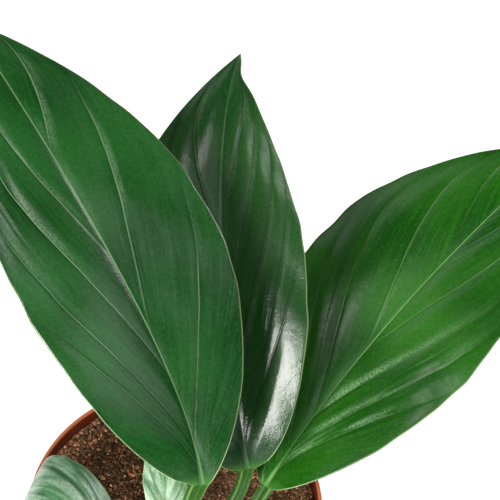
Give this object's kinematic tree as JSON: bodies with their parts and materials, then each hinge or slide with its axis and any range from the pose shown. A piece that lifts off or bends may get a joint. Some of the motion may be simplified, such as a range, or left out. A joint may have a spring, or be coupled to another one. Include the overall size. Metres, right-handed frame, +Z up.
{
  "type": "potted philodendron",
  "caption": "Young tropical foliage plant with long glossy ribbed leaves on upright stalks, growing in a round terracotta-coloured plastic nursery pot filled with soil.",
  "frame": {"origin": "middle of the pot's underside, on the surface that it stands on", "axes": "+Z up along the pot's axis; the plant is seen from the -Y side, with +X to the right"},
  "size_m": [0.2067, 0.1566, 0.2355],
  "materials": {
    "pot": "thin moulded terracotta-coloured plastic, satin",
    "soil": "moist coir and peat crumbs, matte",
    "stem": "smooth green stem with leaf scars, satin",
    "petiole": "smooth light green leaf stalk, grooved above, satin",
    "leaf": "thick glossy green blade with sunken veins and a pale margin"
  },
  "bodies": {
    "root": {"pot": "pot", "soil": "soil", "stem": "stem", "petiole_left": "petiole", "petiole_middle": "petiole", "petiole_right": "petiole", "petiole_small_front": "petiole", "petiole_small_inner": "petiole", "leaf_left": "leaf", "leaf_middle": "leaf", "leaf_right": "leaf", "leaf_small_front": "leaf", "leaf_small_inner": "leaf"}
  },
  "joints": []
}
